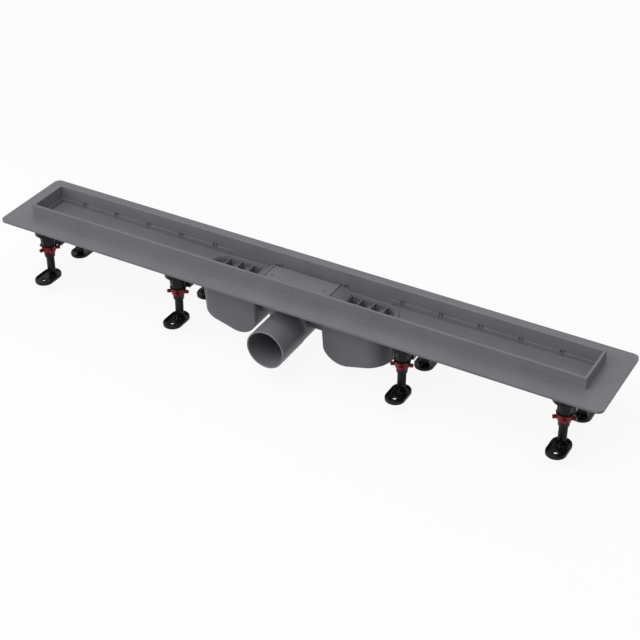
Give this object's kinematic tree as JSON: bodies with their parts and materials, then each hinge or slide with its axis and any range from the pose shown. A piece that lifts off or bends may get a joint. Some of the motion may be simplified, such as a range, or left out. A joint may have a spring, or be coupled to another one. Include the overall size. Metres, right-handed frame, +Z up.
{
  "type": "channel drain",
  "caption": "Long plastic linear drain with a tiling flange and collar, a double-bowl trap with removable insert, a side outlet spigot and screw-adjustable feet.",
  "frame": {"origin": "on the floor slab, at the centre of the outer four foot-fixing holes and right under the centre of the channel", "axes": "+X along the channel, the outlet spigot points to -Y, +Z up through the channel's open top"},
  "size_m": [0.81, 0.1395, 0.1],
  "materials": {
    "body_plastic": "satin moulded grey plastic",
    "leg_plastic": "slightly glossy moulded black plastic",
    "ring_plastic": "satin moulded dark red plastic",
    "seal_rubber": "smooth black rubber"
  },
  "bodies": {
    "channel": {"channel_body": "body_plastic", "trap_bowl_left": "body_plastic", "trap_bowl_right": "body_plastic", "outlet_body": "body_plastic", "trap_insert": "body_plastic", "trap_seal": "seal_rubber", "strainer_left": "body_plastic", "strainer_right": "body_plastic", "leg_bracket_1": "leg_plastic", "leg_bracket_2": "leg_plastic", "leg_bracket_3": "leg_plastic", "leg_bracket_4": "leg_plastic"},
    "nut_front_1": {"adjusting_ring_front_1": "ring_plastic", "thread_bush_front_1": "leg_plastic"},
    "foot_front_1": {"foot_front_1": "leg_plastic"},
    "nut_front_2": {"adjusting_ring_front_2": "ring_plastic", "thread_bush_front_2": "leg_plastic"},
    "foot_front_2": {"foot_front_2": "leg_plastic"},
    "nut_front_3": {"adjusting_ring_front_3": "ring_plastic", "thread_bush_front_3": "leg_plastic"},
    "foot_front_3": {"foot_front_3": "leg_plastic"},
    "nut_front_4": {"adjusting_ring_front_4": "ring_plastic", "thread_bush_front_4": "leg_plastic"},
    "foot_front_4": {"foot_front_4": "leg_plastic"},
    "nut_rear_1": {"adjusting_ring_rear_1": "ring_plastic", "thread_bush_rear_1": "leg_plastic"},
    "foot_rear_1": {"foot_rear_1": "leg_plastic"},
    "nut_rear_2": {"adjusting_ring_rear_2": "ring_plastic", "thread_bush_rear_2": "leg_plastic"},
    "foot_rear_2": {"foot_rear_2": "leg_plastic"},
    "nut_rear_3": {"adjusting_ring_rear_3": "ring_plastic", "thread_bush_rear_3": "leg_plastic"},
    "foot_rear_3": {"foot_rear_3": "leg_plastic"},
    "nut_rear_4": {"adjusting_ring_rear_4": "ring_plastic", "thread_bush_rear_4": "leg_plastic"},
    "foot_rear_4": {"foot_rear_4": "leg_plastic"}
  },
  "joints": [
    {"name": "nut_turn_front_1", "type": "hinge", "parent": "channel", "child": "nut_front_1", "pos_m": [-0.355, -0.03, 0.0425], "axis": [0, 0, 1], "range_deg": [-240, 2160]},
    {"name": "foot_slide_front_1", "type": "slide", "parent": "channel", "child": "foot_front_1", "axis": [0, 0, -1], "range_m": [-0.00201, 0.01801]},
    {"name": "nut_turn_front_2", "type": "hinge", "parent": "channel", "child": "nut_front_2", "pos_m": [-0.155, -0.03, 0.0425], "axis": [0, 0, 1], "range_deg": [-240, 2160]},
    {"name": "foot_slide_front_2", "type": "slide", "parent": "channel", "child": "foot_front_2", "axis": [0, 0, -1], "range_m": [-0.00201, 0.01801]},
    {"name": "nut_turn_front_3", "type": "hinge", "parent": "channel", "child": "nut_front_3", "pos_m": [0.155, -0.03, 0.0425], "axis": [0, 0, 1], "range_deg": [-240, 2160]},
    {"name": "foot_slide_front_3", "type": "slide", "parent": "channel", "child": "foot_front_3", "axis": [0, 0, -1], "range_m": [-0.00201, 0.01801]},
    {"name": "nut_turn_front_4", "type": "hinge", "parent": "channel", "child": "nut_front_4", "pos_m": [0.355, -0.03, 0.0425], "axis": [0, 0, 1], "range_deg": [-240, 2160]},
    {"name": "foot_slide_front_4", "type": "slide", "parent": "channel", "child": "foot_front_4", "axis": [0, 0, -1], "range_m": [-0.00201, 0.01801]},
    {"name": "nut_turn_rear_1", "type": "hinge", "parent": "channel", "child": "nut_rear_1", "pos_m": [-0.355, 0.03, 0.0425], "axis": [0, 0, 1], "range_deg": [-240, 2160]},
    {"name": "foot_slide_rear_1", "type": "slide", "parent": "channel", "child": "foot_rear_1", "axis": [0, 0, -1], "range_m": [-0.00201, 0.01801]},
    {"name": "nut_turn_rear_2", "type": "hinge", "parent": "channel", "child": "nut_rear_2", "pos_m": [-0.155, 0.03, 0.0425], "axis": [0, 0, 1], "range_deg": [-240, 2160]},
    {"name": "foot_slide_rear_2", "type": "slide", "parent": "channel", "child": "foot_rear_2", "axis": [0, 0, -1], "range_m": [-0.00201, 0.01801]},
    {"name": "nut_turn_rear_3", "type": "hinge", "parent": "channel", "child": "nut_rear_3", "pos_m": [0.155, 0.03, 0.0425], "axis": [0, 0, 1], "range_deg": [-240, 2160]},
    {"name": "foot_slide_rear_3", "type": "slide", "parent": "channel", "child": "foot_rear_3", "axis": [0, 0, -1], "range_m": [-0.00201, 0.01801]},
    {"name": "nut_turn_rear_4", "type": "hinge", "parent": "channel", "child": "nut_rear_4", "pos_m": [0.355, 0.03, 0.0425], "axis": [0, 0, 1], "range_deg": [-240, 2160]},
    {"name": "foot_slide_rear_4", "type": "slide", "parent": "channel", "child": "foot_rear_4", "axis": [0, 0, -1], "range_m": [-0.00201, 0.01801]}
  ],
  "couplings": [
    {"joint": "foot_slide_front_1", "follows": "nut_turn_front_1", "m_per_rad": 0.00047746},
    {"joint": "foot_slide_front_2", "follows": "nut_turn_front_2", "m_per_rad": 0.00047746},
    {"joint": "foot_slide_front_3", "follows": "nut_turn_front_3", "m_per_rad": 0.00047746},
    {"joint": "foot_slide_front_4", "follows": "nut_turn_front_4", "m_per_rad": 0.00047746},
    {"joint": "foot_slide_rear_1", "follows": "nut_turn_rear_1", "m_per_rad": 0.00047746},
    {"joint": "foot_slide_rear_2", "follows": "nut_turn_rear_2", "m_per_rad": 0.00047746},
    {"joint": "foot_slide_rear_3", "follows": "nut_turn_rear_3", "m_per_rad": 0.00047746},
    {"joint": "foot_slide_rear_4", "follows": "nut_turn_rear_4", "m_per_rad": 0.00047746}
  ]
}
